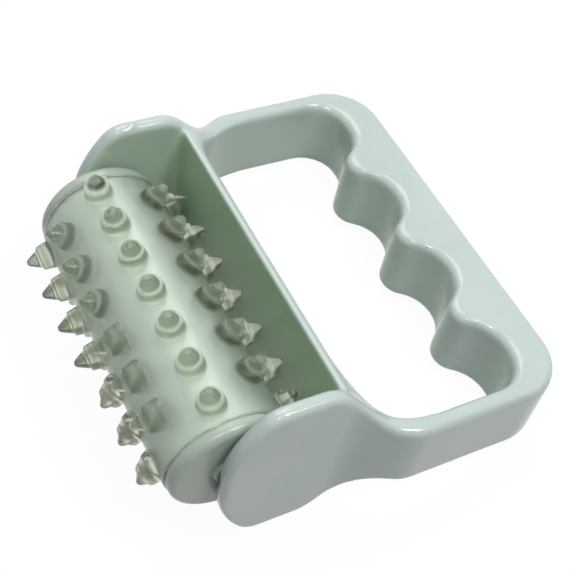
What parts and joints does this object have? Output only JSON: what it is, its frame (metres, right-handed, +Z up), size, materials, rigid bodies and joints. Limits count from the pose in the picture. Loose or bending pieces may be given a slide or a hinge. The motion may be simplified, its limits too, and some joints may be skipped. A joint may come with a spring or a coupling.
{
  "type": "handheld massage roller",
  "caption": "Handheld massage roller with a loop handle shaped for the fingers and a free-turning drum in a clear spiked sleeve.",
  "frame": {"origin": "middle of the footprint, on the table that the roller rests on", "axes": "+X from the drum towards the grip, +Y along the drum's axis, +Z up from the table; the handle slopes down to the grip because the roller rests on its ears' lower edges and its grip"},
  "size_m": [0.096, 0.1002, 0.0448],
  "materials": {
    "frame_plastic": "satin moulded polypropylene, pale grey-green",
    "core_plastic": "smooth moulded plastic, pale grey-green",
    "cap_plastic": "satin moulded plastic, pale grey-green",
    "sleeve_clear": "soft clear plastic, glossy"
  },
  "bodies": {
    "frame": {"handle_frame": "frame_plastic"},
    "drum": {"drum_core": "core_plastic", "end_cap_left": "cap_plastic", "end_cap_right": "cap_plastic", "spiked_sleeve": "sleeve_clear"}
  },
  "joints": [
    {"name": "drum_spin", "type": "hinge", "parent": "frame", "child": "drum", "pos_m": [-0.02805, 0, 0.02457], "axis": [0, 1, 0], "continuous": true}
  ]
}
